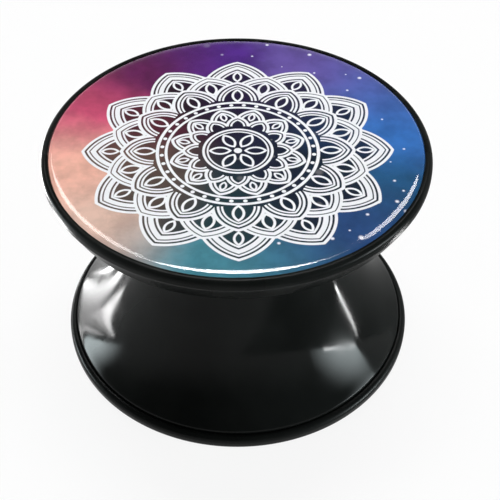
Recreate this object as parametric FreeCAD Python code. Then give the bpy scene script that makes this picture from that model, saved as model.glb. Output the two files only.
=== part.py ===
import FreeCAD, Part
import math
import os

# Collapsible pop-out phone grip, drawn extended, in millimetres.
# A soft two-tier bellows stands on a thin round base plate with an adhesive pad below it.
# The bellows carries a round button with a printed film under a clear lens.
# The origin is the centre of the pad's sticky face and +Z runs up through the button.

# Adhesive pad and the recess that holds it
PAD_THICKNESS = 0.8
PAD_RECESS_DEPTH = 0.4
PAD_SIDE_CLEARANCE = 0.15
PAD_MARGIN = 2.55

# Base plate
BASE_DIAMETER = 39.6
BASE_FLOOR_THICKNESS = 0.7
BASE_RIM_WIDTH = 0.8
BASE_RIM_HEIGHT = 0.55
BASE_EDGE_ROUND = 0.7
RETAINER_WALL = 0.9
RETAINER_HEIGHT = 1.25
RETAINER_BARB = 0.4
RETAINER_BARB_HEIGHT = 0.45

# Bellows
BELLOWS_WALL = 0.9
FOOT_CLEARANCE = 0.05
FOOT_WIDTH = 2.7
FOOT_SHOULDER_HEIGHT = 0.8
FOOT_ROUND = 0.4
LOWER_TIER_HEIGHT = 15.0
LOWER_TIER_TOP_DIAMETER = 24.0
LOWER_TIER_BOW = 2.4
LOWER_TIER_CURVE = 24.0
CREST_ROUND = 0.9
STEP_WIDTH = 1.4
STEP_RISE = 0.8
STEP_ROUND = 0.5
UPPER_TIER_HEIGHT = 4.8
UPPER_TIER_TAPER = 1.1
UPPER_TIER_BOW = 0.25
UPPER_TIER_CURVE = 20.0
COLLAR_THICKNESS = 0.8
COLLAR_CLEARANCE = 0.05

# Socket ring in the top of the bellows, and the post that turns in it
POST_DIAMETER = 10.4
POST_WALL = 1.0
POST_TURNING_CLEARANCE = 0.06
POST_END_CLEARANCE = 0.06
SNAP_BARB = 0.4
SNAP_BARB_HEIGHT = 0.6
SNAP_LEAD_IN = 0.35
SNAP_SLOT_WIDTH = 1.0
SNAP_FINGERS = 4
SOCKET_SLEEVE_WALL = 1.3
SOCKET_WALL_CLEARANCE = 0.25
SOCKET_FLANGE_THICKNESS = 0.6

# Button
BUTTON_DIAMETER = 40.0
BUTTON_EDGE_HEIGHT = 3.4
BUTTON_EDGE_BAND = 1.0
BUTTON_EDGE_TUCK = 1.2
BUTTON_EDGE_ROUND_TOP = 0.6
BUTTON_EDGE_ROUND_BAND = 0.6
BUTTON_EDGE_ROUND_BOTTOM = 1.0
BUTTON_UNDERSIDE_DROP = 0.4
BUTTON_HUB_MARGIN = 0.8
BUTTON_HUB_ROUND = 1.0
BUTTON_RIM_WIDTH = 0.8

# Printed film and clear lens in the button's recess
FILM_THICKNESS = 0.25
FILM_SIDE_CLEARANCE = 0.1
LENS_EDGE_THICKNESS = 0.45
LENS_RISE = 0.25
LENS_CURVE_WIDTH = 1.6
LENS_EDGE_BEVEL = 0.15
LENS_SIDE_CLEARANCE = 0.05

# Points of a section nearer than this are one point
TOUCHING = 1e-6

# Radii and heights that follow from the sizes above
base_radius = BASE_DIAMETER / 2
pad_radius = base_radius - PAD_MARGIN
base_bottom = PAD_THICKNESS - PAD_RECESS_DEPTH
floor_top = PAD_THICKNESS + BASE_FLOOR_THICKNESS
base_rim_top = floor_top + BASE_RIM_HEIGHT
base_rim_inner = base_radius - BASE_RIM_WIDTH
foot_outer = base_rim_inner - FOOT_CLEARANCE
foot_inner = foot_outer - FOOT_WIDTH
retainer_radius = foot_inner - FOOT_CLEARANCE
retainer_top = floor_top + RETAINER_HEIGHT
barb_underside = retainer_top - RETAINER_BARB_HEIGHT

foot_bead_top = barb_underside - FOOT_CLEARANCE
shoulder_height = floor_top + FOOT_SHOULDER_HEIGHT
crest_radius = LOWER_TIER_TOP_DIAMETER / 2
crest_height = floor_top + LOWER_TIER_HEIGHT
step_radius = crest_radius - STEP_WIDTH
step_height = crest_height + STEP_RISE
neck_radius = step_radius - UPPER_TIER_TAPER
collar_top = step_height + UPPER_TIER_HEIGHT
collar_bottom = collar_top - COLLAR_THICKNESS

post_radius = POST_DIAMETER / 2
socket_bore = post_radius + POST_TURNING_CLEARANCE
sleeve_radius = socket_bore + SOCKET_SLEEVE_WALL
flange_radius = neck_radius - BELLOWS_WALL - SOCKET_WALL_CLEARANCE
flange_top = collar_bottom - COLLAR_CLEARANCE
flange_bottom = flange_top - SOCKET_FLANGE_THICKNESS
barb_top = flange_bottom - POST_END_CLEARANCE
post_bottom = barb_top - SNAP_BARB_HEIGHT

button_radius = BUTTON_DIAMETER / 2
hub_face = collar_top + POST_END_CLEARANCE
hub_radius = neck_radius + BUTTON_HUB_MARGIN
edge_bottom = hub_face + BUTTON_UNDERSIDE_DROP
button_top = edge_bottom + BUTTON_EDGE_HEIGHT
recess_radius = button_radius - BUTTON_RIM_WIDTH
recess_floor = button_top - FILM_THICKNESS - LENS_EDGE_THICKNESS
lens_bottom = recess_floor + FILM_THICKNESS


def point(radius, height):
    """A point of a section, which lies in the XZ plane."""
    return FreeCAD.Vector(radius, 0, height)


def path(corners, closed=True):
    """Straight runs through (radius, height, rounding) corners, with a tangent arc at each rounding.

    Roundings that share a run too short for both are limited to what it holds.
    """
    places = [point(radius, height) for radius, height, _ in corners]
    count = len(places)
    runs = [(places[(i + 1) % count] - places[i]).Length for i in range(count)]
    towards_last = [(places[i - 1] - places[i]).normalize() for i in range(count)]
    towards_next = [(places[(i + 1) % count] - places[i]).normalize() for i in range(count)]
    half_angles = [towards_last[i].getAngle(towards_next[i]) / 2 for i in range(count)]
    trims = [corners[i][2] / math.tan(half_angles[i]) for i in range(count)]
    shares = [runs[i] / max(runs[i], trims[i] + trims[(i + 1) % count]) for i in range(count)]

    joins = []
    for i, place in enumerate(places):
        trim = trims[i] * min(shares[i - 1], shares[i])
        joins.append((place + towards_last[i] * trim, place + towards_next[i] * trim))
    edges = []
    for i, place in enumerate(places):
        start, end = joins[i]
        if (end - start).Length > TOUCHING:
            bisector = (towards_last[i] + towards_next[i]).normalize()
            trim = (start - place).Length
            reach = trim / math.cos(half_angles[i]) - trim * math.tan(half_angles[i])
            edges.append(Part.Arc(start, place + bisector * reach, end).toShape())
        following = joins[(i + 1) % count][0]
        if (closed or i + 1 < count) and (following - end).Length > TOUCHING:
            edges.append(Part.makeLine(end, following))
    return Part.Wire(edges)


def turned(section):
    """The solid that a closed section makes when it is turned about Z."""
    face = section if section.ShapeType == "Face" else Part.Face(section)
    return face.revolve(FreeCAD.Vector(0, 0, 0), FreeCAD.Vector(0, 0, 1), 360)


def ring(inner, outer, bottom, top):
    """A plain ring of rectangular section."""
    return turned(path([(inner, bottom, 0), (outer, bottom, 0), (outer, top, 0), (inner, top, 0)]))


def adhesive_pad():
    """Die-cut foam pad, sticky on both faces."""
    return Part.makeCylinder(pad_radius, PAD_THICKNESS)


def base_plate():
    """Thin moulded plate: pad recess below, rim round the bellows' foot, barbed retaining ring inside."""
    recess = pad_radius + PAD_SIDE_CLEARANCE
    retainer_inner = retainer_radius - RETAINER_WALL
    barb_radius = retainer_radius + RETAINER_BARB
    return turned(path([
        (0, PAD_THICKNESS, 0),
        (recess, PAD_THICKNESS, 0),
        (recess, base_bottom, 0),
        (base_radius, base_bottom, BASE_EDGE_ROUND),
        (base_radius, base_rim_top, BASE_EDGE_ROUND),
        (base_rim_inner, base_rim_top, 0),
        (base_rim_inner, floor_top, 0),
        (retainer_radius, floor_top, 0),
        (retainer_radius, barb_underside, 0),
        (barb_radius, barb_underside, 0),
        (retainer_radius, retainer_top, 0),
        (retainer_inner, retainer_top, 0),
        (retainer_inner, floor_top, 0),
        (0, floor_top, 0),
    ]))


def bowed(start, end, bow):
    """Corner of a tier's wall that sags inwards by bow from the straight line, as (radius, height)."""
    along = point(*end) - point(*start)
    inwards = FreeCAD.Vector(-along.z, 0, along.x).normalize()
    corner = point(*start) + along / 2 + inwards * bow
    return corner.x, corner.z


def bellows():
    """One-piece soft bellows: beaded foot, flared lower tier, step, upper tier and a collar at the top."""
    shoulder = (foot_outer, shoulder_height)
    crest = (crest_radius, crest_height)
    step = (step_radius, step_height)
    neck = (neck_radius, collar_top)
    outside = path([
        (foot_outer, floor_top, 0),
        (*shoulder, FOOT_ROUND),
        (*bowed(shoulder, crest, LOWER_TIER_BOW), LOWER_TIER_CURVE),
        (*crest, CREST_ROUND),
        (*step, STEP_ROUND),
        (*bowed(step, neck, UPPER_TIER_BOW), UPPER_TIER_CURVE),
        (*neck, 0),
    ], closed=False)
    wall = turned(outside.makeOffset2D(BELLOWS_WALL, join=0, fill=True, openResult=True))
    foot = ring(foot_inner, foot_outer, floor_top, foot_bead_top)
    collar = ring(sleeve_radius + COLLAR_CLEARANCE, neck_radius, collar_bottom, collar_top)
    return wall.fuse([foot, collar]).removeSplitter()


def top_socket():
    """Hard ring that the soft collar is moulded round, with the bore that the button's post turns in."""
    return turned(path([
        (socket_bore, flange_bottom, 0),
        (flange_radius, flange_bottom, 0),
        (flange_radius, flange_top, 0),
        (sleeve_radius, flange_top, 0),
        (sleeve_radius, collar_top, 0),
        (socket_bore, collar_top, 0),
    ]))


def snap_post():
    """Split post below the button, with a barb on each finger that hooks under the socket ring."""
    inner = post_radius - POST_WALL
    barb_radius = post_radius + SNAP_BARB
    post = turned(path([
        (inner, post_bottom, 0),
        (barb_radius - SNAP_LEAD_IN, post_bottom, 0),
        (barb_radius, barb_top, 0),
        (post_radius, barb_top, 0),
        (post_radius, hub_face, 0),
        (inner, hub_face, 0),
    ]))
    slot = Part.makeBox(barb_radius, SNAP_SLOT_WIDTH, hub_face - post_bottom)
    slot.translate(FreeCAD.Vector(0, -SNAP_SLOT_WIDTH / 2, post_bottom))
    for i in range(SNAP_FINGERS):
        turn = slot.copy()
        turn.rotate(FreeCAD.Vector(0, 0, 0), FreeCAD.Vector(0, 0, 1), 360 * i / SNAP_FINGERS)
        post = post.cut(turn)
    return post


def button_disc():
    """Hard button: soft-edged disc with a recessed top, a dished underside and the snap post."""
    disc = turned(path([
        (0, hub_face, 0),
        (hub_radius, hub_face, BUTTON_HUB_ROUND),
        (button_radius - BUTTON_EDGE_TUCK, edge_bottom, BUTTON_EDGE_ROUND_BOTTOM),
        (button_radius, button_top - BUTTON_EDGE_BAND, BUTTON_EDGE_ROUND_BAND),
        (button_radius, button_top, BUTTON_EDGE_ROUND_TOP),
        (recess_radius, button_top, 0),
        (recess_radius, recess_floor, 0),
        (0, recess_floor, 0),
    ]))
    return disc.fuse(snap_post()).removeSplitter()


def print_film():
    """Thin printed disc on the floor of the button's recess."""
    return Part.makeCylinder(recess_radius - FILM_SIDE_CLEARANCE, FILM_THICKNESS, point(0, recess_floor))


def clear_lens():
    """Clear lens over the print, flat on top, curved down towards its edge and bevelled there."""
    radius = recess_radius - LENS_SIDE_CLEARANCE
    shoulder = radius - LENS_EDGE_BEVEL
    flat = shoulder - LENS_CURVE_WIDTH
    halfway = flat + LENS_CURVE_WIDTH / 2
    top = button_top + LENS_RISE
    curve_radius = (LENS_CURVE_WIDTH ** 2 + LENS_RISE ** 2) / (2 * LENS_RISE)
    halfway_height = top - curve_radius + math.sqrt(curve_radius ** 2 - (LENS_CURVE_WIDTH / 2) ** 2)
    curve = Part.Arc(point(shoulder, button_top), point(halfway, halfway_height), point(flat, top))
    sides = Part.makePolygon([
        point(flat, top),
        point(0, top),
        point(0, lens_bottom),
        point(radius, lens_bottom),
        point(radius, button_top - LENS_EDGE_BEVEL),
        point(shoulder, button_top),
    ])
    return turned(Part.Wire([curve.toShape(), *sides.Edges]))


os.makedirs("parts", exist_ok=True)
for make in (adhesive_pad, base_plate, bellows, top_socket, button_disc, print_film, clear_lens):
    make().exportStep(f"parts/{make.__name__}.step")
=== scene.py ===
"""Looks of the pop-out phone grip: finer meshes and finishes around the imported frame."""

import logging
import math
from abc import ABC, abstractmethod
from dataclasses import dataclass
from enum import Enum
from typing import Any, Iterable, Mapping, Optional, Sequence, Union

import bpy
from mathutils import Matrix, Vector


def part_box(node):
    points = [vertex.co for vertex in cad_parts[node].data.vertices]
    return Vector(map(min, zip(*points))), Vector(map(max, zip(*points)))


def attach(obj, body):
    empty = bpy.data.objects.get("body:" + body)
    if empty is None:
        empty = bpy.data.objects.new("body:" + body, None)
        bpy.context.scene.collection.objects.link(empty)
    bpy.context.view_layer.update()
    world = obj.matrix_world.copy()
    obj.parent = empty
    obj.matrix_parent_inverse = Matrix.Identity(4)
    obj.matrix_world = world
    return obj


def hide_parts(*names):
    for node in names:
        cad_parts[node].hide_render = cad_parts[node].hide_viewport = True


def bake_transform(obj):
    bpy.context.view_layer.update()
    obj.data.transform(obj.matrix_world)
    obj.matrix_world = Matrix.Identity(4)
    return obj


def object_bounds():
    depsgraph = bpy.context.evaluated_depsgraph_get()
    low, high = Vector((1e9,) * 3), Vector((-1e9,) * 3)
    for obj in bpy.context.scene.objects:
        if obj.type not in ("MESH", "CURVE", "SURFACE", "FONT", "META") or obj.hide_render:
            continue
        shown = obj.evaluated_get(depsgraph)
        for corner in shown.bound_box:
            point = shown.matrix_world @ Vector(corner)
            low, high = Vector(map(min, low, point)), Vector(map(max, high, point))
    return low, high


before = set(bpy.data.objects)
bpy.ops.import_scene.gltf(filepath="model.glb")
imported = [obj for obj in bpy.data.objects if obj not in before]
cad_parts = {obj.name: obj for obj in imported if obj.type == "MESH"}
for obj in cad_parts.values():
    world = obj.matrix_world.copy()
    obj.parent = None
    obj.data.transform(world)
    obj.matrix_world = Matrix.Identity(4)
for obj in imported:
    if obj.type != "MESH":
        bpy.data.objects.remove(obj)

CAD_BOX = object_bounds()

# Sizes below are in millimetres, and Blender's unit is the metre
MM = 0.001

# Faces round a turned piece, and the longest stretch between two rings of its runs and of its arcs
ROUND_STEPS = 256
RING_PITCH = 0.7
ARC_PITCH = 0.25
ARC_STEP = math.radians(5)
LEAST_ARC_FACES = 3
SAME_POINT = 1e-7
SMOOTH_BELOW = math.radians(34)

# The stretch of a noise's values that shows
NOISE_RANGE = (0.3, 0.7)

# Places of a Mix node's factor and two colours among its inputs, and of its mixed colour
MIX_ENDS = (0, 6, 7)
MIX_RESULT = 2

log = logging.getLogger("grip")

Piece = bpy.types.Object
Material = bpy.types.Material
Tree = bpy.types.NodeTree
Socket = bpy.types.NodeSocket
Sockets = Mapping[str, Socket]
Number = Union[float, Socket]
Colour = tuple[float, float, float, float]
Triple = tuple[float, float, float]
Place = tuple[float, float]


class Body(Enum):
    """The frame's rigid bodies."""

    BASE = "base"
    CARRIER = "carrier"
    BUTTON = "button"


def srgb(red: int, green: int, blue: int) -> Colour:
    """A colour named by its screen values, as the linear colour that sockets take.

    Args:
        red, green, blue: Screen values from 0 to 255.

    Returns:
        The linear colour with full alpha.
    """
    def linear(value: int) -> float:
        """One screen value as a linear one."""
        share = value / 255
        return share / 12.92 if share <= 0.04045 else ((share + 0.055) / 1.055) ** 2.4

    return (linear(red), linear(green), linear(blue), 1.0)


# Outlines and turned meshes


def rounded(corners: Sequence[Triple]) -> list[Place]:
    """The points of an outline with a tangent arc at each rounded corner.

    Roundings that share a run too short for both are limited to what it holds.

    Args:
        corners: (radius, height, rounding) of each corner, from the first end to the last.

    Returns:
        (radius, height) of each ring of the outline.
    """
    spots = [Vector(corner[:2]) for corner in corners]
    last = len(spots) - 1
    trims = [0.0] * len(spots)
    for i in range(1, last):
        back, ahead = spots[i - 1] - spots[i], spots[i + 1] - spots[i]
        trims[i] = corners[i][2] / math.tan(back.angle(ahead) / 2)
    shares = []
    for i in range(last):
        run = (spots[i + 1] - spots[i]).length
        shares.append(min(1.0, run / max(trims[i] + trims[i + 1], SAME_POINT)))
    points = [spots[0]]
    for i in range(1, last):
        back = (spots[i - 1] - spots[i]).normalized()
        ahead = (spots[i + 1] - spots[i]).normalized()
        trim = trims[i] * min(shares[i - 1], shares[i])
        points.extend(arc_points(spots[i], back, ahead, trim))
    points.append(spots[last])
    return spaced(points)


def arc_points(corner: Vector, back: Vector, ahead: Vector, trim: float) -> list[Vector]:
    """Points of the arc that rounds one corner.

    Args:
        corner: The sharp corner.
        back, ahead: Directions from the corner along its two runs.
        trim: How much of each run the arc takes; none leaves the corner sharp.

    Returns:
        The arc's points from the first run to the second.
    """
    if trim < SAME_POINT:
        return [corner]
    half = back.angle(ahead) / 2
    radius = trim * math.tan(half)
    centre = corner + (back + ahead).normalized() * (radius / math.sin(half))
    first, final = corner + back * trim - centre, corner + ahead * trim - centre
    turn = first.angle_signed(final)
    steps = math.ceil(abs(turn) / ARC_STEP), math.ceil(abs(turn) * radius / ARC_PITCH)
    count = max(LEAST_ARC_FACES, *steps)
    return [centre + Matrix.Rotation(-turn * i / count, 2) @ first for i in range(count + 1)]


def spaced(points: Sequence[Vector]) -> list[Place]:
    """The outline's points, with more of them on its long runs.

    Args:
        points: The outline's corners and arc points.

    Returns:
        Points no further apart than the ring pitch, without repeats.
    """
    places = [tuple(points[0])]
    for start, end in zip(points, points[1:]):
        run = end - start
        if run.length < SAME_POINT:
            continue
        count = math.ceil(run.length / RING_PITCH)
        places.extend(tuple(start + run * (i + 1) / count) for i in range(count))
    return places


def turned(name: str, corners: Sequence[Triple], closed: bool = False) -> Piece:
    """A mesh turned about Z from an outline that is drawn vertex by vertex and spun.

    Args:
        name: The piece's name.
        corners: (radius, height, rounding) of the outline's corners, in millimetres.
        closed: Whether the outline is a ring of its own, clear of the axis.

    Returns:
        The new object, smooth but for its sharp edges.
    """
    outline = rounded(corners)
    if closed:
        outline.append(outline[0])
    bpy.ops.mesh.primitive_plane_add(size=MM)
    piece = bpy.context.active_object
    piece.name = piece.data.name = name
    bpy.ops.object.mode_set(mode="EDIT")
    bpy.ops.mesh.merge(type="CENTER")
    radius, height = outline[0]
    bpy.ops.transform.translate(value=(radius * MM, 0, height * MM))
    for (r0, z0), (r1, z1) in zip(outline, outline[1:]):
        step = ((r1 - r0) * MM, 0, (z1 - z0) * MM)
        bpy.ops.mesh.extrude_vertices_move(TRANSFORM_OT_translate={"value": step})
    bpy.ops.mesh.select_all(action="SELECT")
    bpy.ops.mesh.spin(steps=ROUND_STEPS, angle=math.tau, center=(0, 0, 0), axis=(0, 0, 1))
    bpy.ops.mesh.select_all(action="SELECT")
    bpy.ops.mesh.remove_doubles(threshold=SAME_POINT)
    bpy.ops.mesh.normals_make_consistent(inside=False)
    bpy.ops.object.mode_set(mode="OBJECT")
    bpy.ops.object.shade_smooth_by_angle(angle=SMOOTH_BELOW)
    return piece


def cut_by_box(piece: Piece, size: Vector, centre: Vector, turn: float) -> None:
    """Cuts a box-shaped slot out of a piece.

    Args:
        piece: The piece to cut.
        size, centre: The box's size and middle, in metres.
        turn: Its turn about Z.
    """
    bpy.ops.mesh.primitive_cube_add(size=1, location=centre, rotation=(0, 0, turn), scale=size)
    cutter = bpy.context.active_object
    bpy.context.view_layer.objects.active = piece
    cut = piece.modifiers.new("slot", "BOOLEAN")
    cut.operation = "DIFFERENCE"
    cut.solver = "EXACT"
    cut.object = cutter
    bpy.ops.object.modifier_apply(modifier=cut.name)
    bpy.data.objects.remove(cutter)


# Node trees


class Graph:
    """Short calls that add and link the nodes of one tree."""

    def __init__(self, tree: Tree) -> None:
        """Starts from an empty tree."""
        self.tree = tree
        tree.nodes.clear()

    def feed(self, socket: Socket, value: Any) -> None:
        """Links a socket to an output, or sets its own value.

        Args:
            socket: The input socket.
            value: The output or the value.
        """
        if isinstance(value, Socket):
            self.tree.links.new(value, socket)
        else:
            socket.default_value = value

    def node(
        self, kind: str, inputs: Optional[Mapping[Union[str, int], Any]] = None, **settings: Any
    ) -> bpy.types.Node:
        """Adds a node.

        Args:
            kind: Its type.
            inputs: Values or outputs for its input sockets, by name or place.
            settings: Its own properties.

        Returns:
            The new node.
        """
        made = self.tree.nodes.new(kind)
        for name, value in settings.items():
            setattr(made, name, value)
        for name, value in (inputs or {}).items():
            self.feed(made.inputs[name], value)
        return made

    def math(self, operation: str, *values: Number) -> Socket:
        """Adds a Math node and returns its result."""
        made = self.node("ShaderNodeMath", dict(enumerate(values)), operation=operation)
        return made.outputs["Value"]

    def fade(
        self, value: Number, start: Number, end: Number, low: Number = 0.0, high: Number = 1.0
    ) -> Socket:
        """A smooth step of a value.

        Args:
            value: What is measured.
            start, end: Where the step starts and ends.
            low, high: The result before and after it.

        Returns:
            The stepped value.
        """
        ends = {"Value": value, "From Min": start, "From Max": end, "To Min": low, "To Max": high}
        made = self.node("ShaderNodeMapRange", ends, interpolation_type="SMOOTHSTEP")
        return made.outputs["Result"]

    def spread(self, value: Socket, low: Number = 0.0, high: Number = 1.0) -> Socket:
        """A noise's value, spread between two others."""
        return self.fade(value, *NOISE_RANGE, low, high)

    def mixed(self, share: Number, first: Any, second: Any, mode: str = "MIX") -> Socket:
        """A mix of two colours.

        Args:
            share: The share of the second.
            first, second: The colours.
            mode: How the second goes over the first.

        Returns:
            The mixed colour.
        """
        ends = dict(zip(MIX_ENDS, (share, first, second)))
        made = self.node("ShaderNodeMix", ends, data_type="RGBA", blend_type=mode)
        return made.outputs[MIX_RESULT]

    def toned(self, colour: Socket, level: Socket) -> Socket:
        """A colour made darker or lighter by a level."""
        grey = self.node("ShaderNodeCombineColor", {"Red": level, "Green": level, "Blue": level})
        return self.mixed(1.0, colour, grey.outputs["Color"], "MULTIPLY")

    def noise(self, where: Socket, scale: Number, detail: float, roughness: float = 0.5) -> Sockets:
        """A noise's value and colour."""
        ends = {"Vector": where, "Scale": scale, "Detail": detail, "Roughness": roughness}
        return self.node("ShaderNodeTexNoise", ends).outputs

    def vector_math(self, operation: str, first: Any, second: Any) -> Sockets:
        """Adds a Vector Math node and returns its outputs."""
        ends = {0: first, 1: second}
        return self.node("ShaderNodeVectorMath", ends, operation=operation).outputs

    def vector(self, operation: str, first: Any, second: Any) -> Socket:
        """A vector worked out from two others."""
        return self.vector_math(operation, first, second)["Vector"]

    def distance(self, first: Any, second: Any = (0.0, 0.0, 0.0)) -> Socket:
        """How far a place is from another, or from the middle."""
        return self.vector_math("DISTANCE", first, second)["Value"]

    def parts(self, where: Socket) -> Sockets:
        """A vector's X, Y and Z."""
        return self.node("ShaderNodeSeparateXYZ", {"Vector": where}).outputs

    def polar(self, where: Socket) -> tuple[Socket, Socket]:
        """A place's angle about Z and its distance from that axis."""
        flat = self.vector("MULTIPLY", where, (1.0, 1.0, 0.0))
        parts = self.parts(flat)
        return self.math("ARCTAN2", parts["Y"], parts["X"]), self.distance(flat)

    def group(self, tree: Tree, inputs: Mapping[str, Any]) -> Sockets:
        """Places a node group and returns its outputs."""
        return self.node("ShaderNodeGroup", inputs, node_tree=tree).outputs

    def principled(self, inputs: Mapping[str, Any]) -> Socket:
        """Adds the main shader."""
        return self.node("ShaderNodeBsdfPrincipled", inputs).outputs["BSDF"]

    def mixed_shaders(self, share: Number, first: Socket, second: Socket) -> Socket:
        """A mix of two shaders by a share of the second."""
        ends = {"Fac": share, 1: first, 2: second}
        return self.node("ShaderNodeMixShader", ends).outputs["Shader"]

    def bump(self, height: Socket, strength: float, depth: float) -> Socket:
        """A bump of a height from 0 to 1, with its depth in millimetres."""
        ends = {"Height": height, "Strength": strength, "Distance": depth * MM}
        return self.node("ShaderNodeBump", ends).outputs["Normal"]


def new_group(
    name: str, numbers: Iterable[str], results: Iterable[str], placed: bool = True
) -> tuple[Graph, Sockets, Sockets]:
    """Starts a shader node group.

    Args:
        name: The group's name.
        numbers: Numbers that it is given.
        results: Numbers that it gives.
        placed: Whether it is given a position too.

    Returns:
        Its graph, what it is given, and the sockets that take its results.
    """
    tree = bpy.data.node_groups.new(name, "ShaderNodeTree")
    sockets = [("Position", "INPUT", "NodeSocketVector")] if placed else []
    sockets += [(label, "INPUT", "NodeSocketFloat") for label in numbers]
    sockets += [(label, "OUTPUT", "NodeSocketFloat") for label in results]
    for label, way, kind in sockets:
        tree.interface.new_socket(name=label, in_out=way, socket_type=kind)
    graph = Graph(tree)
    return graph, graph.node("NodeGroupInput").outputs, graph.node("NodeGroupOutput").inputs


class Groups:
    """Node groups that the finishes share."""

    FLOW_ROUGHNESS = 0.5
    PEEL_ROUGHNESS = 0.4
    RUB_TURNS = (0.5, 1.9)
    RUB_TILT = (0.4, 0.3)
    RUB_SQUEEZE = (1.0, 16.0, 16.0)
    RUB_ROUGHNESS = 0.6
    RUB_EDGE = (0.64, 0.72)
    PATCH_SCALE = 0.11
    PATCH_EDGE = (0.45, 0.62)
    STAR_SCATTER = 0.8
    STAR_LEAST = 0.35
    STAR_CORE = 0.25

    def __init__(self) -> None:
        """Builds each group once."""
        self.skin = self.moulded_skin()
        self.rubs = self.handling_rubs()
        self.lobes = self.lobe_fold()
        self.arc = self.arc_line()
        self.stars = self.star_field()

    def moulded_skin(self) -> Tree:
        """Flow and orange peel of a moulded surface: a slow tone and a fine height.

        Returns:
            The group.
        """
        graph, given, result = new_group(
            "moulded skin", ("Flow size", "Peel size"), ("Tone", "Height")
        )
        layers = (
            ("Tone", "Flow size", self.FLOW_ROUGHNESS),
            ("Height", "Peel size", self.PEEL_ROUGHNESS),
        )
        for label, size, roughness in layers:
            scale = graph.math("DIVIDE", 1.0, given[size])
            graph.feed(result[label], graph.noise(given["Position"], scale, 2.0, roughness)["Fac"])
        return graph.tree

    def handling_rubs(self) -> Tree:
        """Fine rub marks from handling, as a mask of thin streaks in patches.

        Returns:
            The group.
        """
        graph, given, result = new_group("handling rubs", ("Length", "Amount"), ("Mask",))
        along = graph.math("DIVIDE", 1.0, given["Length"])
        streaks = []
        for turn in self.RUB_TURNS:
            squeezed = graph.node("ShaderNodeMapping", {
                "Vector": given["Position"],
                "Rotation": (*self.RUB_TILT, turn),
                "Scale": self.RUB_SQUEEZE,
            })
            streak = graph.noise(squeezed.outputs["Vector"], along, 2.0, self.RUB_ROUGHNESS)
            streaks.append(graph.fade(streak["Fac"], *self.RUB_EDGE))
        patch = graph.noise(given["Position"], self.PATCH_SCALE, 1.0)
        held = graph.fade(patch["Fac"], *self.PATCH_EDGE)
        mask = graph.math("MULTIPLY", graph.math("MAXIMUM", *streaks), held)
        graph.feed(result["Mask"], graph.math("MULTIPLY", mask, given["Amount"]))
        return graph.tree

    def lobe_fold(self) -> Tree:
        """Folds the print's plane into half a lobe: distances along the lobe's axis and across it.

        Returns:
            The group.
        """
        graph, given, result = new_group("lobe fold", ("Count", "Turn"), ("Along", "Across"))
        angle, away = graph.polar(given["Position"])
        lobe = graph.math("DIVIDE", math.tau, given["Count"])
        lobes = graph.math("ADD", graph.math("DIVIDE", angle, lobe), given["Turn"])
        share = graph.math("SUBTRACT", graph.math("FRACT", graph.math("ADD", lobes, 0.5)), 0.5)
        turn = graph.math("MULTIPLY", graph.math("ABSOLUTE", share), lobe)
        for label, part in (("Along", "COSINE"), ("Across", "SINE")):
            graph.feed(result[label], graph.math("MULTIPLY", away, graph.math(part, turn)))
        return graph.tree

    def arc_line(self) -> Tree:
        """A line along an arc in the half lobe, and what lies inside it.

        Returns:
            The group.
        """
        numbers = ("Along", "Across", "Centre", "Lean", "Bend", "Start", "Line", "Blur")
        graph, given, result = new_group("arc line", numbers, ("Ink", "Cover"), placed=False)
        along = graph.math("SUBTRACT", given["Along"], given["Centre"])
        across = graph.math("ADD", given["Across"], given["Lean"])
        squares = [graph.math("MULTIPLY", side, side) for side in (along, across)]
        reach = graph.math("SQRT", graph.math("ADD", *squares))
        away = graph.math("SUBTRACT", reach, given["Bend"])
        half = graph.math("MULTIPLY", given["Line"], 0.5)
        near = graph.math("SUBTRACT", half, given["Blur"])
        far = graph.math("ADD", half, given["Blur"])
        ink = graph.fade(graph.math("ABSOLUTE", away), near, far, 1.0, 0.0)
        shown = graph.math("GREATER_THAN", given["Along"], given["Start"])
        outside = graph.math("MULTIPLY", shown, graph.math("GREATER_THAN", away, 0.0))
        graph.feed(result["Ink"], graph.math("MULTIPLY", ink, shown))
        graph.feed(result["Cover"], graph.math("SUBTRACT", 1.0, outside))
        return graph.tree

    def star_field(self) -> Tree:
        """Small soft dots of uneven size, one at most in each cell.

        Returns:
            The group.
        """
        graph, given, result = new_group("star field", ("Spacing", "Share", "Size"), ("Mask",))
        ends = {
            "Vector": given["Position"],
            "Scale": graph.math("DIVIDE", 1.0, given["Spacing"]),
            "Randomness": self.STAR_SCATTER,
        }
        cells = graph.node("ShaderNodeTexVoronoi", ends, voronoi_dimensions="2D").outputs
        away = graph.math("MULTIPLY", cells["Distance"], given["Spacing"])
        chance = graph.node("ShaderNodeSeparateColor", {"Color": cells["Color"]}).outputs
        share = graph.math("ADD", chance["Green"], self.STAR_LEAST)
        size = graph.math("MULTIPLY", share, given["Size"])
        dot = graph.fade(away, graph.math("MULTIPLY", size, self.STAR_CORE), size, 1.0, 0.0)
        lit = graph.math("LESS_THAN", chance["Red"], given["Share"])
        graph.feed(result["Mask"], graph.math("MULTIPLY", dot, lit))
        return graph.tree


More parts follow.
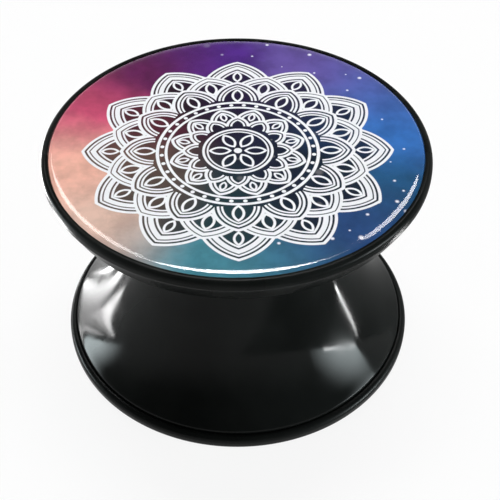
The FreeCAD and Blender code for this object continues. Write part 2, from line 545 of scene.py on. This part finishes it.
class MaterialGraph(Graph):
    """The nodes of one material, with the groups that it shares with others."""

    def __init__(self, name: str, groups: Optional[Groups] = None) -> None:
        """Starts a material, with its piece's own coordinates in millimetres.

        Args:
            name: The material's name.
            groups: The shared node groups, where it has any.
        """
        self.material = bpy.data.materials.new(name)
        self.material.use_nodes = True
        super().__init__(self.material.node_tree)
        self.groups = groups
        where = self.node("ShaderNodeTexCoord").outputs["Object"]
        self.where = self.vector("MULTIPLY", where, (1 / MM, 1 / MM, 1 / MM))

    def skin(self, flow_size: float, peel_size: float) -> Sockets:
        """The tone and the height of a moulded surface."""
        ends = {"Position": self.where, "Flow size": flow_size, "Peel size": peel_size}
        return self.group(self.groups.skin, ends)

    def finished(self, surface: Socket) -> Material:
        """Links the material's output to its shader."""
        self.node("ShaderNodeOutputMaterial", {"Surface": surface})
        return self.material


# Finishes


class Finish(ABC):
    """A finish that makes its own material."""

    name: str

    def material(self, groups: Groups) -> Material:
        """Makes the finish's material with the shared node groups."""
        graph = MaterialGraph(self.name, groups)
        return graph.finished(self.surface(graph))

    @abstractmethod
    def surface(self, graph: MaterialGraph) -> Socket:
        """Adds the finish's shader to its material's graph."""


@dataclass(frozen=True)
class MouldedBlack(Finish):
    """Black moulding, from polished to matt."""

    name: str
    dark: Colour = srgb(13, 15, 14)
    light: Colour = srgb(21, 23, 22)
    polish: float = 0.06
    dull: float = 0.16
    gloss: float = 0.09
    flow_size: float = 7.0
    peel_size: float = 1.3
    peel_depth: float = 0.002
    rub_length: float = 4.0
    rub_amount: float = 0.5

    def surface(self, graph: MaterialGraph) -> Socket:
        """Flow marks in tone and roughness, orange peel as bump, and faint rubs.

        Args:
            graph: The material's graph.

        Returns:
            The shader.
        """
        skin = graph.skin(self.flow_size, self.peel_size)
        marks = {"Position": graph.where, "Length": self.rub_length, "Amount": self.rub_amount}
        rubs = graph.group(graph.groups.rubs, marks)["Mask"]
        marked = graph.math("MAXIMUM", graph.spread(skin["Tone"]), rubs)
        return graph.principled({
            "Base Color": graph.mixed(marked, self.dark, self.light),
            "Roughness": graph.fade(marked, 0.0, 1.0, self.polish, self.dull),
            "Specular IOR Level": self.gloss,
            "Normal": graph.bump(skin["Height"], 1.0, self.peel_depth),
        })


@dataclass(frozen=True)
class AdhesiveFoam(Finish):
    """Closed-cell foam with a tacky film on its face."""

    name: str
    dark: Colour = srgb(62, 63, 66)
    light: Colour = srgb(104, 105, 108)
    cell_size: float = 0.28
    cell_edge: Place = (0.1, 0.75)
    cell_depth: float = 0.05
    relief: float = 0.6
    flow_size: float = 6.0
    tacky: float = 0.38
    dry: float = 0.7
    gloss: float = 0.4

    def surface(self, graph: MaterialGraph) -> Socket:
        """Small cells in colour and bump, and a slow change of sheen.

        Args:
            graph: The material's graph.

        Returns:
            The shader.
        """
        ends = {"Vector": graph.where, "Scale": 1 / self.cell_size, "Randomness": 1.0}
        cells = graph.node("ShaderNodeTexVoronoi", ends).outputs
        pores = graph.fade(cells["Distance"], *self.cell_edge)
        tone = graph.spread(graph.skin(self.flow_size, self.cell_size)["Tone"])
        shade = graph.math("MULTIPLY", pores, tone)
        return graph.principled({
            "Base Color": graph.mixed(shade, self.light, self.dark),
            "Roughness": graph.fade(tone, 0.0, 1.0, self.tacky, self.dry),
            "Specular IOR Level": self.gloss,
            "Normal": graph.bump(pores, self.relief, self.cell_depth),
        })


@dataclass(frozen=True)
class ClearResin(Finish):
    """Clear polished resin that lets lamps through to the print."""

    name: str
    tint: Colour = (0.985, 0.99, 1.0, 1.0)
    polish: float = 0.05
    swirl: float = 0.09
    flow_size: float = 9.0
    peel_size: float = 3.0
    index: float = 1.46

    def surface(self, graph: MaterialGraph) -> Socket:
        """Clear glass whose polish changes slowly, open to lamps and to light from the print.

        Args:
            graph: The material's graph.

        Returns:
            The shader.
        """
        tone = graph.skin(self.flow_size, self.peel_size)["Tone"]
        surface = graph.principled({
            "Base Color": self.tint,
            "Roughness": graph.spread(tone, self.polish, self.swirl),
            "IOR": self.index,
            "Transmission Weight": 1.0,
        })
        clear = graph.node("ShaderNodeBsdfTransparent", {"Color": self.tint}).outputs["BSDF"]
        rays = graph.node("ShaderNodeLightPath").outputs
        for ray in ("Is Shadow Ray", "Is Diffuse Ray"):
            surface = graph.mixed_shaders(rays[ray], surface, clear)
        return surface


# The print: a ring of drifting colour with stars, and a white line rosette


# Where an arc starts that is drawn all along
EVERYWHERE = -100.0


@dataclass(frozen=True)
class Arc:
    """An arc in the half lobe.

    Its centre lies on the lobe's axis, or leans over to the other side of it. It is drawn from
    start outwards.
    """

    centre: float
    lean: float
    bend: float
    start: float


@dataclass(frozen=True)
class InkRow(ABC):
    """A ring of equal figures, turned by a share of one; its lines are (inset, width)."""

    count: int
    turn: float
    lines: tuple[Place, ...]

    @abstractmethod
    def arc(self) -> Arc:
        """The arc that draws half of one figure."""


@dataclass(frozen=True)
class Arches(InkRow):
    """Pointed arches side by side, drawn from tip to valley."""

    tip: float
    valley: float
    lean: float

    def arc(self) -> Arc:
        """The arc through the tip and the valley.

        Returns:
            The arc, drawn from its centre outwards.
        """
        half = math.pi / self.count
        along, across = self.valley * math.cos(half), self.valley * math.sin(half)
        gap = (across + self.lean) ** 2 - self.lean ** 2
        centre = (self.tip + along - gap / (self.tip - along)) / 2
        return Arc(centre, self.lean, math.hypot(self.tip - centre, self.lean), centre)


@dataclass(frozen=True)
class Petals(InkRow):
    """Closed pointed petals, from heel to tip."""

    tip: float
    heel: float
    half_width: float

    def arc(self) -> Arc:
        """The arc through heel, side and tip."""
        half_length = (self.tip - self.heel) / 2
        lean = (half_length ** 2 - self.half_width ** 2) / (2 * self.half_width)
        return Arc((self.tip + self.heel) / 2, lean, lean + self.half_width, EVERYWHERE)


@dataclass(frozen=True)
class Beads(InkRow):
    """Round dots on a circle."""

    ring: float

    def arc(self) -> Arc:
        """The dot's own middle."""
        return Arc(self.ring, 0.0, 0.0, EVERYWHERE)


@dataclass(frozen=True)
class Circles(InkRow):
    """Plain circles round the middle."""

    ring: float

    def arc(self) -> Arc:
        """The circle itself."""
        return Arc(0.0, 0.0, self.ring, EVERYWHERE)


ROSETTE: tuple[InkRow, ...] = (
    Arches(12, 0.0, ((0.0, 0.3), (0.46, 0.22), (0.95, 0.5), (1.5, 0.22)), 15.3, 12.7, 1.9),
    Petals(12, 0.0, ((0.0, 0.24),), 13.4, 11.8, 0.4),
    Arches(12, 0.5, ((0.0, 0.3), (0.46, 0.4), (0.92, 0.2)), 12.9, 10.9, 1.2),
    Petals(12, 0.5, ((0.0, 0.26),), 11.7, 9.7, 0.52),
    Arches(12, 0.0, ((0.0, 0.34), (0.5, 0.24), (0.88, 0.2)), 11.5, 9.1, 1.0),
    Petals(12, 0.0, ((0.0, 0.26),), 10.2, 8.2, 0.5),
    Circles(1, 0.0, ((0.0, 0.32), (0.86, 0.28)), 7.95),
    Beads(36, 0.5, ((0.0, 0.42),), 7.52),
    Arches(12, 0.5, ((0.0, 0.3), (0.42, 0.22)), 6.75, 5.3, 0.7),
    Petals(12, 0.5, ((0.0, 0.2),), 6.1, 5.0, 0.28),
    Arches(12, 0.0, ((0.0, 0.3), (0.4, 0.2)), 5.4, 4.1, 0.5),
    Circles(1, 0.0, ((0.0, 0.26), (0.4, 0.18)), 3.4),
    Petals(6, 0.0, ((0.0, 0.24),), 2.75, 0.75, 0.5),
    Beads(1, 0.0, ((0.0, 0.8),), 0.0),
)


@dataclass(frozen=True)
class ColourPrint(Finish):
    """Glossy colour print: drifting colours round the edge, stars, and the rosette in white ink.

    Noises are (scale, detail, roughness), and layers of stars are (spacing, share, size).
    """

    name: str
    edge: tuple[tuple[float, Colour], ...] = (
        (0, srgb(50, 110, 185)),
        (70, srgb(100, 80, 155)),
        (90, srgb(78, 35, 130)),
        (130, srgb(95, 25, 80)),
        (160, srgb(205, 80, 115)),
        (190, srgb(245, 185, 165)),
        (220, srgb(220, 185, 168)),
        (260, srgb(70, 135, 150)),
        (310, srgb(35, 70, 120)),
        (340, srgb(28, 82, 125)),
    )
    middle: Colour = srgb(52, 58, 120)
    ink: Colour = srgb(250, 250, 252)
    star: Colour = srgb(246, 246, 255)
    middle_reach: float = 9.0
    ground_shade: float = 0.13
    drift: float = 2.2
    drift_noise: Triple = (0.16, 4.0, 0.55)
    cloud_noise: Triple = (0.34, 5.0, 0.6)
    cloud_tones: Place = (0.82, 1.16)
    star_layers: tuple[Triple, ...] = ((1.7, 0.22, 0.22), (3.8, 0.35, 0.46))
    stars_from: float = -5.0
    stars_full: float = 3.0
    line_blur: float = 0.035
    rosette_size: float = 1.03
    rosette_shift: Place = (0.1, -1.1)
    flow_size: float = 5.0
    peel_size: float = 0.35
    peel_depth: float = 0.004
    relief: float = 0.3
    polish: float = 0.35
    dull: float = 0.5
    gloss: float = 0.03

    def ramp(self, graph: Graph, angle: Socket) -> Socket:
        """The colour at an angle round the edge.

        Args:
            graph: The material's graph.
            angle: The angle in radians.

        Returns:
            The colour.
        """
        turn = graph.math("FRACT", graph.math("DIVIDE", angle, math.tau))
        made = graph.node("ShaderNodeValToRGB", {"Fac": turn})
        stops = made.color_ramp.elements
        made.color_ramp.interpolation = "EASE"
        stops[0].position = 0.0
        stops[1].position = 1.0
        stops[0].color = stops[1].color = self.edge[0][1]
        for degrees, colour in self.edge[1:]:
            stops.new(degrees / 360).color = colour
        return made.outputs["Color"]

    def colours(self, graph: MaterialGraph) -> Socket:
        """Drifting colours: the ring of the edge, blended towards the middle, with clouds in it.

        Args:
            graph: The material's graph.

        Returns:
            The colour.
        """
        push = graph.noise(graph.where, *self.drift_noise)["Color"]
        centred = graph.vector("SUBTRACT", push, (0.5, 0.5, 0.5))
        moved = graph.vector("MULTIPLY", centred, (2 * self.drift, 2 * self.drift, 0.0))
        angle, away = graph.polar(graph.vector("ADD", graph.where, moved))
        inner = graph.fade(away, 0.0, self.middle_reach, 1.0, 0.0)
        field = graph.mixed(inner, self.ramp(graph, angle), self.middle)
        cloud = graph.noise(graph.where, *self.cloud_noise)["Fac"]
        return graph.toned(field, graph.spread(cloud, *self.cloud_tones))

    def rosette(self, graph: MaterialGraph, where: Socket) -> tuple[Socket, Socket]:
        """The rosette's ink, row over row from the outside in.

        Args:
            graph: The material's graph.
            where: Position in the rosette, in millimetres.

        Returns:
            The mask of the ink, and the mask of the ground inside the outermost row.
        """
        folds: dict[tuple[int, float], Sockets] = {}
        ink: Optional[Socket] = None
        ground: Optional[Socket] = None
        for row in ROSETTE:
            key = (row.count, row.turn)
            if key not in folds:
                lobes = {"Position": where, "Count": row.count, "Turn": row.turn}
                folds[key] = graph.group(graph.groups.lobes, lobes)
            half = {name: folds[key][name] for name in ("Along", "Across")}
            arc = row.arc()
            place = {**half, "Centre": arc.centre, "Lean": arc.lean, "Start": arc.start}
            for number, (inset, width) in enumerate(row.lines):
                line = {"Bend": arc.bend - inset, "Line": width, "Blur": self.line_blur}
                drawn = graph.group(graph.groups.arc, {**place, **line})
                if ink is None:
                    ink, ground = drawn["Ink"], drawn["Cover"]
                    continue
                if number == 0:
                    bare = graph.math("SUBTRACT", 1.0, drawn["Cover"])
                    ink = graph.math("MULTIPLY", ink, bare)
                ink = graph.math("MAXIMUM", ink, drawn["Ink"])
        return ink, ground

    def surface(self, graph: MaterialGraph) -> Socket:
        """Colours, stars and ink, with a slight unevenness of the print.

        Args:
            graph: The material's graph.

        Returns:
            The shader.
        """
        where = graph.where
        colour = self.colours(graph)
        thinned = graph.fade(graph.parts(where)["X"], self.stars_from, self.stars_full)
        for layer in self.star_layers:
            ends = dict(zip(("Position", "Spacing", "Share", "Size"), (where, *layer)))
            dots = graph.group(graph.groups.stars, ends)
            lit = graph.math("MULTIPLY", dots["Mask"], thinned)
            colour = graph.mixed(lit, colour, self.star)
        moved = graph.vector("SUBTRACT", where, (*self.rosette_shift, 0.0))
        grown = graph.vector("DIVIDE", moved, (self.rosette_size, self.rosette_size, 1.0))
        ink, ground = self.rosette(graph, grown)
        colour = graph.toned(colour, graph.fade(ground, 0.0, 1.0, 1.0, self.ground_shade))
        skin = graph.skin(self.flow_size, self.peel_size)
        return graph.principled({
            "Base Color": graph.mixed(ink, colour, self.ink),
            "Roughness": graph.spread(skin["Tone"], self.polish, self.dull),
            "Specular IOR Level": self.gloss,
            "Normal": graph.bump(skin["Height"], self.relief, self.peel_depth),
        })


# Sub-assemblies


def dressed(piece: Piece, finish: Material, node: str, body: Optional[Body]) -> Piece:
    """Gives a piece its finish and its place in the frame.

    Args:
        piece: The finished mesh.
        finish: Its material.
        node: The node that it stands for, which is hidden.
        body: The body that it rides on, or None for a piece on no body.

    Returns:
        The piece.
    """
    piece.data.materials.clear()
    piece.data.materials.append(finish)
    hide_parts(node)
    if body is not None:
        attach(piece, body.value)
    log.info("%s: %d faces", piece.name, len(piece.data.polygons))
    return piece


@dataclass(frozen=True)
class Extent:
    """A round node's radius and heights."""

    radius: float
    bottom: float
    top: float

    @classmethod
    def of(cls, node: str) -> "Extent":
        """Reads a node's box from the frame."""
        low, high = (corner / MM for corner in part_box(node))
        return cls(high.x, low.z, high.z)


PAD, PLATE, WALL = (Extent.of(node) for node in ("adhesive_pad", "base_plate", "bellows"))
DISC, FILM, LENS = (Extent.of(node) for node in ("button_disc", "print_film", "clear_lens"))


@dataclass
class BaseAssembly:
    """The adhesive pad and the base plate."""

    pad_edge_round: float = 0.12
    recess_clearance: float = 0.15
    recess_round: float = 0.08
    edge_round: float = 0.7
    rim_width: float = 0.8
    rim_height: float = 0.55
    rim_inner_round: float = 0.12
    retainer_radius: float = 16.2
    retainer_wall: float = 0.9
    retainer_height: float = 1.25
    retainer_round: float = 0.1
    barb: float = 0.4
    barb_height: float = 0.45
    barb_round: float = 0.06

    def pad(self, finish: Material) -> Piece:
        """The foam pad, with soft die-cut edges.

        Args:
            finish: The foam's material.

        Returns:
            The piece.
        """
        mesh = turned("foam_pad", [
            (0, 0, 0),
            (PAD.radius, 0, self.pad_edge_round),
            (PAD.radius, PAD.top, self.pad_edge_round),
            (0, PAD.top, 0),
        ])
        piece = dressed(mesh, finish, "adhesive_pad", Body.BASE)
        return piece

    def plate(self, finish: Material) -> Piece:
        """The plate, with its round rim and the barbed ring that holds the bellows.

        Args:
            finish: The plate's material.

        Returns:
            The piece.
        """
        floor_top = WALL.bottom
        recess = PAD.radius + self.recess_clearance
        rim_inner = PLATE.radius - self.rim_width
        rim_top = floor_top + self.rim_height
        retainer_top = floor_top + self.retainer_height
        barb_underside = retainer_top - self.barb_height
        retainer_inner = self.retainer_radius - self.retainer_wall
        mesh = turned("base_rim_plate", [
            (0, PAD.top, 0),
            (recess, PAD.top, 0),
            (recess, PLATE.bottom, self.recess_round),
            (PLATE.radius, PLATE.bottom, self.edge_round),
            (PLATE.radius, rim_top, self.edge_round),
            (rim_inner, rim_top, self.rim_inner_round),
            (rim_inner, floor_top, 0),
            (self.retainer_radius, floor_top, 0),
            (self.retainer_radius, barb_underside, 0),
            (self.retainer_radius + self.barb, barb_underside, self.barb_round),
            (self.retainer_radius, retainer_top, self.retainer_round),
            (retainer_inner, retainer_top, self.retainer_round),
            (retainer_inner, floor_top, 0),
            (0, floor_top, 0),
        ])
        return dressed(mesh, finish, "base_plate", Body.BASE)


@dataclass
class Bellows:
    """The soft folding wall between base and button."""

    wall: float = 0.9
    foot_width: float = 2.7
    foot_bead: float = 0.75
    fold_from: float = 0.68
    shoulder_rise: float = 0.8
    foot_round: float = 0.4
    crest_radius: float = 12.0
    lower_tier: float = 15.0
    lower_bow: float = 2.4
    lower_curve: float = 24.0
    crest_round: float = 0.9
    inner_crest_round: float = 0.1
    step_width: float = 1.4
    step_rise: float = 0.8
    step_round: float = 0.5
    taper: float = 1.1
    upper_bow: float = 0.25
    upper_curve: float = 20.0
    collar: float = 0.8
    collar_bore: float = 6.61

    @staticmethod
    def bowed(start: Place, end: Place, bow: float) -> Place:
        """The corner of a wall that sags inwards.

        Args:
            start, end: The wall's ends.
            bow: How far the corner is from the straight line between them.

        Returns:
            The corner.
        """
        first, final = Vector(start), Vector(end)
        along = final - first
        inwards = Vector((-along.y, along.x)).normalized()
        return tuple(first + along / 2 + inwards * bow)

    @staticmethod
    def shifted(corners: Sequence[Place], distance: float) -> list[Place]:
        """The corners of a wall's inner face, parallel to its outer one.

        Args:
            corners: The outer face's corners from the foot up.
            distance: The wall's thickness.

        Returns:
            The inner corners in the same order.
        """
        spots = [Vector(corner) for corner in corners]
        inner = []
        for i, spot in enumerate(spots):
            back = (spot - spots[i - 1]).normalized() if i else (spots[1] - spot).normalized()
            ahead = (spots[i + 1] - spot).normalized() if i + 1 < len(spots) else back
            middle = Vector((-(back + ahead).y, (back + ahead).x)).normalized()
            lean = middle.dot(Vector((-back.y, back.x)))
            inner.append(tuple(spot + middle * (distance / lean)))
        return inner

    def section(self) -> list[Triple]:
        """The closed section of the wall, foot and collar.

        Returns:
            (radius, height, rounding) of its corners.
        """
        foot_outer, floor_top, collar_top = WALL.radius, WALL.bottom, WALL.top
        shoulder = (foot_outer, floor_top + self.shoulder_rise)
        crest = (self.crest_radius, floor_top + self.lower_tier)
        step = (self.crest_radius - self.step_width, crest[1] + self.step_rise)
        neck = (step[0] - self.taper, collar_top)
        sag = self.bowed(shoulder, crest, self.lower_bow)
        lean_in = self.bowed(step, neck, self.upper_bow)
        corners = (shoulder, sag, crest, step, lean_in, neck)
        bends = (
            self.foot_round, self.lower_curve, self.crest_round,
            self.step_round, self.upper_curve, 0,
        )
        inner = self.shifted(corners, self.wall)
        inner_bends = (
            self.lower_curve + self.wall, self.inner_crest_round,
            self.step_round + self.wall, self.upper_curve,
        )
        outside = [(*place, bend) for place, bend in zip(corners, bends)]
        inside = [(*place, bend) for place, bend in zip(inner[1:-1], inner_bends)]
        collar_bottom = collar_top - self.collar
        bead_top = floor_top + self.foot_bead
        foot_inner = foot_outer - self.foot_width
        return [
            (foot_inner, floor_top, 0),
            (foot_outer, floor_top, 0),
            *outside,
            (self.collar_bore, collar_top, 0),
            (self.collar_bore, collar_bottom, 0),
            (inner[-1][0], collar_bottom, 0),
            *reversed(inside),
            (foot_outer - self.wall, bead_top, 0),
            (foot_inner, bead_top, 0),
        ]

    def build(self, finish: Material) -> Piece:
        """The wall as one turned piece between the base and the carrier, on no body.

        Args:
            finish: Its material.

        Returns:
            The piece.
        """
        mesh = turned("folding_wall", self.section(), closed=True)
        piece = dressed(mesh, finish, "bellows", None)
        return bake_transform(piece)


@dataclass
class ButtonAssembly:
    """The button disc with its snap post, the printed film and the clear lens."""

    hub_clearance: float = 0.06
    hub_radius: float = 10.3
    hub_round: float = 1.0
    underside_drop: float = 0.4
    edge_tuck: float = 1.2
    edge_band: float = 1.0
    band_round: float = 0.6
    top_round: float = 0.6
    lower_round: float = 1.0
    rim_width: float = 0.8
    rim_inner_round: float = 0.08
    post_radius: float = 5.2
    post_wall: float = 1.0
    post_root: float = 0.2
    snap_barb: float = 0.4
    snap_barb_height: float = 0.6
    snap_barb_round: float = 0.06
    snap_lead_in: float = 0.35
    snap_tip_round: float = 0.1
    slot_width: float = 1.0
    slot_reach: float = 1.1
    slot_past: float = 0.2
    film_edge_round: float = 0.03
    lens_bevel: float = 0.15
    lens_curve_width: float = 2.0
    lens_edge_round: float = 0.12
    lens_bond: float = 0.02

    @property
    def hub_face(self) -> float:
        """Height of the hub's face over the bellows' collar."""
        return WALL.top + self.hub_clearance

    def disc(self, finish: Material) -> Piece:
        """The soft-edged disc and its post.

        Args:
            finish: Its material.

        Returns:
            The piece.
        """
        edge_bottom = self.hub_face + self.underside_drop
        recess = DISC.radius - self.rim_width
        mesh = turned("button_body", [
            (0, self.hub_face, 0),
            (self.hub_radius, self.hub_face, self.hub_round),
            (DISC.radius - self.edge_tuck, edge_bottom, self.lower_round),
            (DISC.radius, DISC.top - self.edge_band, self.band_round),
            (DISC.radius, DISC.top, self.top_round),
            (recess, DISC.top, self.rim_inner_round),
            (recess, FILM.bottom, 0),
            (0, FILM.bottom, 0),
        ])
        self.post().select_set(True)
        mesh.select_set(True)
        bpy.context.view_layer.objects.active = mesh
        bpy.ops.object.join()
        return dressed(mesh, finish, "button_disc", Body.BUTTON)

    def post(self) -> Piece:
        """The split post with a barb on each of its four fingers.

        Returns:
            The post's mesh.
        """
        inner = self.post_radius - self.post_wall
        barb = self.post_radius + self.snap_barb
        bottom = DISC.bottom
        barb_top = bottom + self.snap_barb_height
        root = self.hub_face + self.post_root
        post = turned("snap_post", [
            (inner, bottom, 0),
            (barb - self.snap_lead_in, bottom, self.snap_tip_round),
            (barb, barb_top, self.snap_barb_round),
            (self.post_radius, barb_top, 0),
            (self.post_radius, root, 0),
            (inner, root, 0),
        ], closed=True)
        start = bottom - self.slot_past
        height = self.hub_face - start
        size = Vector((2 * self.slot_reach * barb, self.slot_width, height)) * MM
        middle = Vector((0, 0, start + height / 2)) * MM
        for turn in (0, math.pi / 2):
            cut_by_box(post, size, middle, turn)
        return post

    def film(self, finish: Material) -> Piece:
        """The printed film on the recess's floor.

        Args:
            finish: The print's material.

        Returns:
            The piece.
        """
        mesh = turned("printed_disc", [
            (0, FILM.bottom, 0),
            (FILM.radius, FILM.bottom, 0),
            (FILM.radius, FILM.top, self.film_edge_round),
            (0, FILM.top, 0),
        ])
        return dressed(mesh, finish, "print_film", Body.BUTTON)

    def lens(self, finish: Material) -> Piece:
        """The clear lens: flat on top, curved down to its edge, and bonded to the film.

        Args:
            finish: Its material.

        Returns:
            The piece.
        """
        underside = FILM.top - self.lens_bond
        shoulder = LENS.radius - self.lens_bevel
        width, rise = self.lens_curve_width, LENS.top - DISC.top
        bend = (width ** 2 + rise ** 2) / (2 * rise)
        corner = shoulder - width + bend * math.tan(math.asin(width / bend) / 2)
        mesh = turned("lens_cover", [
            (0, underside, 0),
            (LENS.radius, underside, 0),
            (LENS.radius, DISC.top - self.lens_bevel, self.lens_edge_round),
            (shoulder, DISC.top, 0),
            (corner, LENS.top, bend),
            (0, LENS.top, 0),
        ])
        return dressed(mesh, finish, "clear_lens", Body.BUTTON)


# Studio


WHITE = (1.0, 1.0, 1.0)
COOL = (0.86, 0.98, 1.0)


@dataclass(frozen=True)
class Glow:
    """How a softbox fades away from its brightest spot, in shares of its width and height."""

    spot: Place = (0.5, 0.5)
    full: float = 0.3
    reach: float = 0.5

    def strength(self, graph: Graph) -> Socket:
        """The share of its light that each spot of the softbox gives."""
        across = graph.node("ShaderNodeNewGeometry").outputs["Parametric"]
        away = graph.distance(across, (*self.spot, 0.0))
        return graph.fade(away, self.full, self.reach, 1.0, 0.0)


@dataclass(frozen=True)
class Lamp:
    """A softbox aimed at the grip: degrees round from the camera's side and up, and metres."""

    name: str
    azimuth: float
    elevation: float
    distance: float
    width: float
    height: float
    power: float
    glow: Optional[Glow] = None
    colour: Triple = WHITE

    def spot(self, aim: Vector) -> tuple[Vector, Vector]:
        """Where the lamp stands.

        Args:
            aim: The point that it faces.

        Returns:
            Its place and the way its back faces.
        """
        turn, lift = math.radians(self.azimuth), math.radians(self.elevation)
        level = math.cos(lift)
        away = Vector((math.sin(turn) * level, -math.cos(turn) * level, math.sin(lift)))
        return aim + away * self.distance, away


@dataclass(frozen=True)
class Panel(Lamp):
    """A light panel that lies on the floor face up, with no elevation."""

    def spot(self, aim: Vector) -> tuple[Vector, Vector]:
        """Where the panel lies, with its back down, whatever the aim."""
        turn = math.radians(self.azimuth)
        across = Vector((math.sin(turn), -math.cos(turn), 0.0)) * self.distance
        return across + Vector((0, 0, MM)), Vector((0, 0, -1))


@dataclass
class Studio:
    """Floor, surrounding light, softboxes and the photograph's camera."""

    aim: Vector
    floor_size: float = 60.0
    floor_sides: int = 96
    floor_colour: Colour = srgb(240, 240, 240)
    floor_cloud: float = 0.009
    floor_polish: float = 0.35
    floor_dull: float = 0.455
    floor_white: float = 0.9
    # Painted shade, seen only in reflections: the floor dims to the right between these X
    # millimetres, to this level
    painted_shade_from: float = 13.0
    painted_shade_to: float = 24.0
    painted_shade_level: float = 0.25
    low_light: float = 0.98
    high_light: float = 0.128
    low_light_reach: float = 0.36
    camera_back: float = 82.33
    camera_up: float = 90.81
    camera_pitch: float = 44.23
    camera_yaw: float = 0.968
    camera_roll: float = 0.258
    lens_length: float = 73.23
    lamps: tuple[Lamp, ...] = (
        Lamp("left_softbox", -97, 8, 0.45, 0.22, 0.13, 2.1, Glow((0.1, 0.1), 0.2, 0.95), COOL),
        Lamp("right_softbox", 70, 11, 0.45, 0.28, 0.18, 3.9, Glow((0.72, 0.05), 0.1, 0.85), COOL),
        Lamp("right_low_strip", 75, 0.2, 0.45, 0.18, 0.008, 0.30),
        Lamp("top_softbox", 180, 72, 0.5, 0.42, 0.07, 3.2, Glow()),
        Lamp("left_edge_strip", -143.5, 46, 0.5, 0.034, 0.30, 0.30),
        Lamp("right_edge_strip", 143, 47, 0.5, 0.045, 0.16, 0.27),
        Panel("left_panel_near", -93, 0, 0.083, 0.100, 0.003, 0.03),
        Panel("left_panel_mid", -95.4, 0, 0.0776, 0.1115, 0.0018, 0.0088),
        Panel("left_panel_outer", -97.6, 0, 0.078, 0.1115, 0.0018, 0.0075),
        Panel("left_panel_far", -111, 0, 0.089, 0.100, 0.025, 0.2),
        Panel("right_bar", 87, 0, 0.090, 0.110, 0.001, 0.028),
    )

    def floor(self) -> None:
        """A wide pale floor, a little polished, with painted shade on its right for reflections."""
        bpy.ops.mesh.primitive_circle_add(
            vertices=self.floor_sides, radius=self.floor_size / 2, fill_type="NGON"
        )
        floor = bpy.context.active_object
        floor.name = "studio_floor"
        graph = MaterialGraph("studio floor")
        cloud = graph.noise(graph.where, self.floor_cloud, 2.0)["Fac"]
        lit = graph.principled({
            "Base Color": self.floor_colour,
            "Roughness": graph.spread(cloud, self.floor_polish, self.floor_dull),
        })
        rays = graph.node("ShaderNodeLightPath").outputs
        seen = rays["Is Camera Ray"]
        for ray in ("Is Glossy Ray", "Is Transmission Ray"):
            seen = graph.math("MAXIMUM", seen, rays[ray])
        # Painted shade: reflections see the floor's right side at a quarter of its glow; the camera
        # sees it white
        side = graph.parts(graph.where)["X"]
        painted_shade = graph.fade(side, self.painted_shade_from, self.painted_shade_to, 1.0, self.painted_shade_level)
        level = graph.math("MAXIMUM", rays["Is Camera Ray"], painted_shade)
        white = graph.node("ShaderNodeEmission", {"Strength": level}).outputs["Emission"]
        share = graph.math("MULTIPLY", seen, self.floor_white)
        floor.data.materials.append(graph.finished(graph.mixed_shaders(share, lit, white)))

    def surround(self) -> None:
        """Dim even light, paler towards the horizon."""
        world = bpy.data.worlds.new("studio")
        bpy.context.scene.world = world
        world.use_nodes = True
        graph = Graph(world.node_tree)
        height = graph.parts(graph.node("ShaderNodeTexCoord").outputs["Generated"])["Z"]
        level = graph.fade(height, 0.0, self.low_light_reach, self.low_light, self.high_light)
        light = graph.node("ShaderNodeBackground", {"Color": (*WHITE, 1.0), "Strength": level})
        graph.node("ShaderNodeOutputWorld", {"Surface": light.outputs["Background"]})

    def light(self, lamp: Lamp) -> None:
        """Adds one softbox or panel.

        Args:
            lamp: Its place, size and power.
        """
        place, away = lamp.spot(self.aim)
        turn = away.to_track_quat("Z", "Y").to_euler()
        bpy.ops.object.light_add(type="AREA", location=place, rotation=turn)
        made = bpy.context.active_object
        made.name = lamp.name
        made.data.shape = "RECTANGLE"
        made.data.size, made.data.size_y = lamp.width, lamp.height
        made.data.energy = lamp.power
        made.data.color = lamp.colour
        if lamp.glow is not None:
            made.data.use_nodes = True
            graph = Graph(made.data.node_tree)
            shader = graph.node("ShaderNodeEmission", {"Strength": lamp.glow.strength(graph)})
            graph.node("ShaderNodeOutputLight", {"Surface": shader.outputs["Emission"]})

    def camera(self) -> None:
        """The photograph's camera, in front of the grip and above it."""
        tilt = Matrix.Rotation(math.pi / 2 - math.radians(self.camera_pitch), 4, "X")
        turn = Matrix.Rotation(-math.radians(self.camera_yaw), 4, "Z")
        roll = Matrix.Rotation(math.radians(self.camera_roll), 4, "Z")
        place = Vector((0, -self.camera_back, self.camera_up)) * MM
        bpy.ops.object.camera_add(location=place, rotation=(turn @ tilt @ roll).to_euler())
        camera = bpy.context.active_object
        camera.data.lens = self.lens_length
        camera.data.clip_start = MM
        bpy.context.scene.camera = camera

    def build(self) -> None:
        """Sets up everything round the grip."""
        self.floor()
        self.surround()
        for lamp in self.lamps:
            self.light(lamp)
        self.camera()
        bpy.context.scene.view_settings.view_transform = "Standard"
        log.info("studio: %d lamps", len(self.lamps))


def main() -> None:
    """Builds the grip from the phone upwards, then the studio round it."""
    logging.basicConfig(level=logging.INFO, format="%(name)s %(message)s")
    groups = Groups()

    base = BaseAssembly()
    base.pad(AdhesiveFoam("adhesive foam").material(groups))
    base.plate(MouldedBlack("base satin black", polish=0.24, dull=0.34).material(groups))
    Bellows().build(MouldedBlack("soft gloss black").material(groups))

    socket_finish = MouldedBlack("socket matt black", polish=0.45, dull=0.6, peel_size=0.4)
    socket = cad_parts["top_socket"]
    socket.data.materials.clear()
    socket.data.materials.append(socket_finish.material(groups))
    log.info("top_socket: kept from the frame")

    button = ButtonAssembly()
    satin = MouldedBlack("button satin black", polish=0.22, dull=0.32, gloss=0.06, rub_amount=0.2)
    button.disc(satin.material(groups))
    button.film(ColourPrint("colour print").material(groups))
    button.lens(ClearResin("clear resin").material(groups))

    centre = (CAD_BOX[0] + CAD_BOX[1]) / 2
    Studio(aim=centre).build()


if __name__ == "__main__":
    main()
